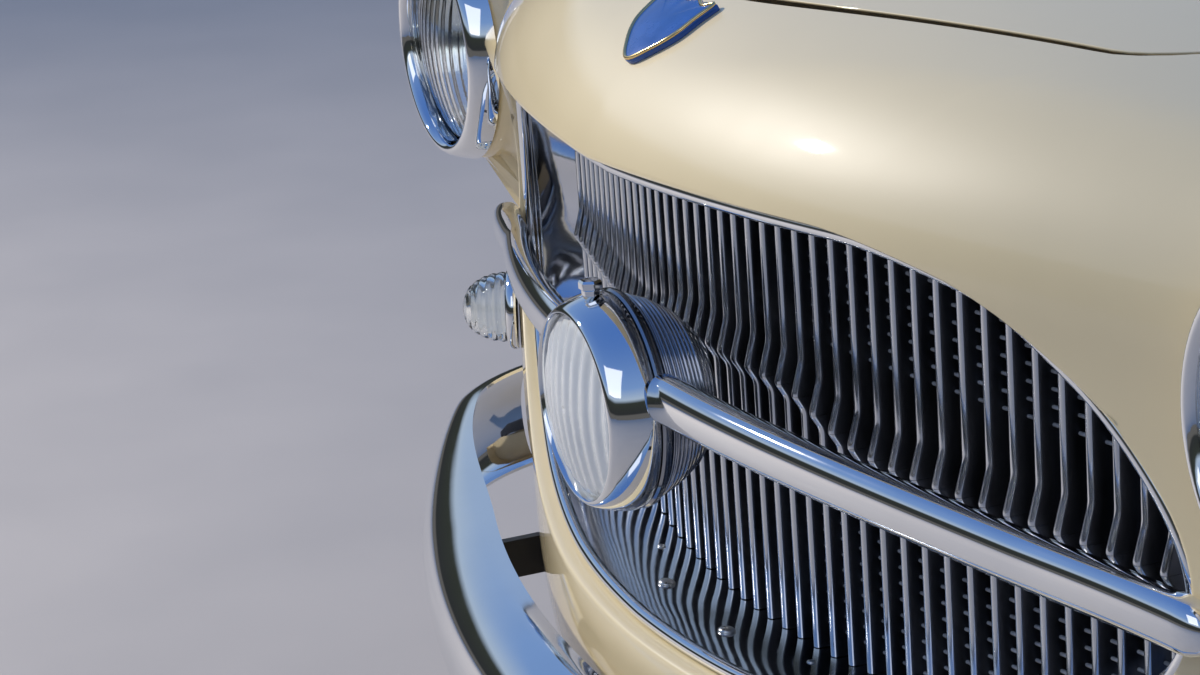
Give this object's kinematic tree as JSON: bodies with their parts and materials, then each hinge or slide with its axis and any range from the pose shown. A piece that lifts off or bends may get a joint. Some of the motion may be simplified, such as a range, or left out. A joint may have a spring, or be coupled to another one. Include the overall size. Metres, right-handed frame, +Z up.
{
  "type": "car front end",
  "caption": "Front end of a small 1950s saloon: wings, opening bonnet, finned grille with centre lamp, bumper, inner structure",
  "frame": {"origin": "middle of the bulkhead's flat rear face, where the front end meets the body shell", "axes": "+Y points back into the car's body, -Y is the car's front, +X its left, +Z up"},
  "size_m": [1.4588, 1.1481, 0.7441],
  "materials": {
    "body_paint": "gloss",
    "bright_chrome": "polished",
    "grille_aluminium": "satin",
    "lamp_glass": "clear",
    "black_steel": "semi-gloss",
    "radiator_fins": "matte",
    "primer_steel": "matte",
    "badge_enamel": "gloss"
  },
  "bodies": {
    "clip": {"nose_panel": "body_paint", "wing_left": "body_paint", "wing_right": "body_paint", "scuttle_panel": "body_paint", "slam_panel": "body_paint", "grille_trim": "bright_chrome", "grille_bar_left": "bright_chrome", "grille_bar_right": "bright_chrome", "lamp_rim": "bright_chrome", "lamp_shell": "bright_chrome", "lamp_clamp_screw": "bright_chrome", "headlamp_rim_left": "bright_chrome", "headlamp_rim_right": "bright_chrome", "side_lamp_base_left": "bright_chrome", "side_lamp_base_right": "bright_chrome", "bumper_blade": "bright_chrome", "grille_surround": "grille_aluminium", "grille_fins_upper": "grille_aluminium", "grille_fins_lower": "grille_aluminium", "lamp_lens": "lamp_glass", "headlamp_lens_left": "lamp_glass", "headlamp_lens_right": "lamp_glass", "side_lamp_lens_left": "lamp_glass", "side_lamp_lens_right": "lamp_glass", "headlamp_bowl_left": "black_steel", "headlamp_bowl_right": "black_steel", "bumper_iron_left": "black_steel", "bumper_iron_right": "black_steel", "chassis_leg_left": "black_steel", "chassis_leg_right": "black_steel", "front_cross_member": "black_steel", "radiator_top_tank": "black_steel", "radiator_bottom_tank": "black_steel", "bonnet_hinge_bracket_left": "black_steel", "bonnet_hinge_bracket_right": "black_steel", "radiator_core": "radiator_fins", "bulkhead": "primer_steel", "flitch_plate_left": "primer_steel", "flitch_plate_right": "primer_steel", "badge_plate": "badge_enamel"},
    "bonnet": {"bonnet_panel": "body_paint", "bonnet_hinge_arm_left": "black_steel", "bonnet_hinge_arm_right": "black_steel"}
  },
  "joints": [
    {"name": "bonnet_hinge", "type": "hinge", "parent": "clip", "child": "bonnet", "pos_m": [0, -0.035, 0.30906], "axis": [-1, 0, 0], "range_deg": [0, 55]}
  ]
}
